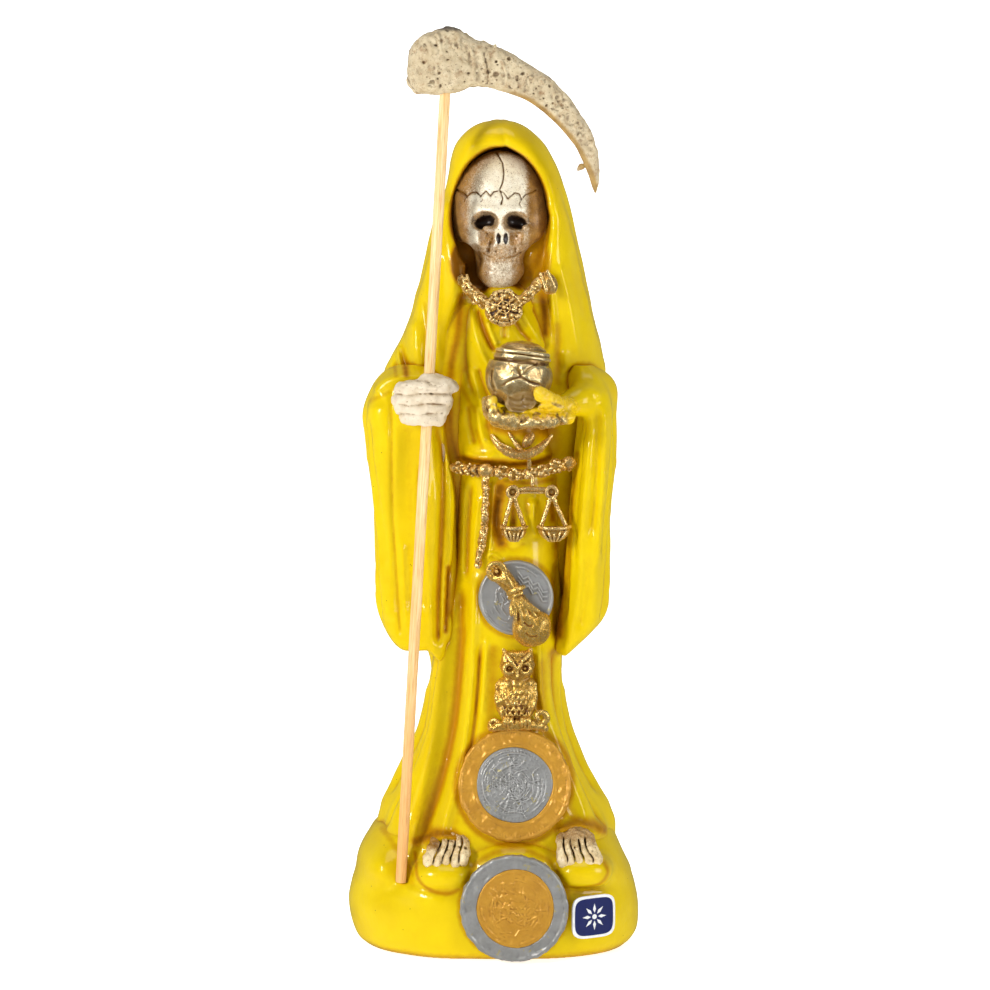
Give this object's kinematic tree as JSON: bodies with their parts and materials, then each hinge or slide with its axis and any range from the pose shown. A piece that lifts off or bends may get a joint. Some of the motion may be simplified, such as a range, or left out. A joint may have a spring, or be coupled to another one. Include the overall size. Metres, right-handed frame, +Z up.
{
  "type": "robed skeleton figurine",
  "caption": "Hooded skeleton figurine in a long robe, holding a globe and a lift-out scythe, with cast charms and coins down its front, on a plinth.",
  "frame": {"origin": "middle of the resting face under the overall box", "axes": "+Z up, the figure's front faces -Y, +X is the figure's left (the globe hand's side)"},
  "size_m": [0.0746, 0.0588, 0.2281],
  "materials": {
    "robe_enamel": "glossy yellow enamel on cast resin, amber in the folds",
    "bone_patina": "satin bone paint with brown wash",
    "bone_paste": "rough off-white modelling paste",
    "bone_paint": "satin bone paint with dark grooves",
    "gilt_paint": "antique gold paint with dark brown wash",
    "coin_gold_paint": "satin gold paint",
    "silver_paint": "satin silver paint",
    "label_print": "printed glossy paper label, white border",
    "bamboo": "natural bamboo, unvarnished",
    "blade_paste": "rough pitted off-white paste"
  },
  "bodies": {
    "figure": {"base_plinth": "robe_enamel", "gown": "robe_enamel", "hooded_mantle": "robe_enamel", "right_sleeve": "robe_enamel", "left_sleeve": "robe_enamel", "skull": "bone_patina", "right_hand": "bone_paste", "left_hand": "gilt_paint", "right_foot": "bone_paint", "left_foot": "bone_paint", "globe": "gilt_paint", "necklace_chain": "gilt_paint", "necklace_medallion": "gilt_paint", "mantle_clasp": "gilt_paint", "crescent_charm": "gilt_paint", "belt_cord": "gilt_paint", "belt_tail": "gilt_paint", "scales_beam": "gilt_paint", "right_scale_pan": "gilt_paint", "left_scale_pan": "gilt_paint", "silver_coin": "silver_paint", "money_pouch": "gilt_paint", "owl_charm": "gilt_paint", "upper_coin_ring": "coin_gold_paint", "upper_coin_core": "silver_paint", "lower_coin_ring": "silver_paint", "lower_coin_core": "coin_gold_paint", "plinth_label": "label_print"},
    "pole": {"scythe_pole": "bamboo"},
    "blade": {"scythe_blade": "blade_paste"}
  },
  "joints": [
    {"name": "scythe_lift", "type": "slide", "parent": "figure", "child": "pole", "axis": [0.0578, 0.0165, 0.9982], "range_m": [0, 0.11]},
    {"name": "scythe_turn", "type": "hinge", "parent": "pole", "child": "blade", "pos_m": [-0.0121, -0.0172, 0.2119], "axis": [0.0578, 0.0165, 0.9982], "range_deg": [-180, 15]}
  ]
}
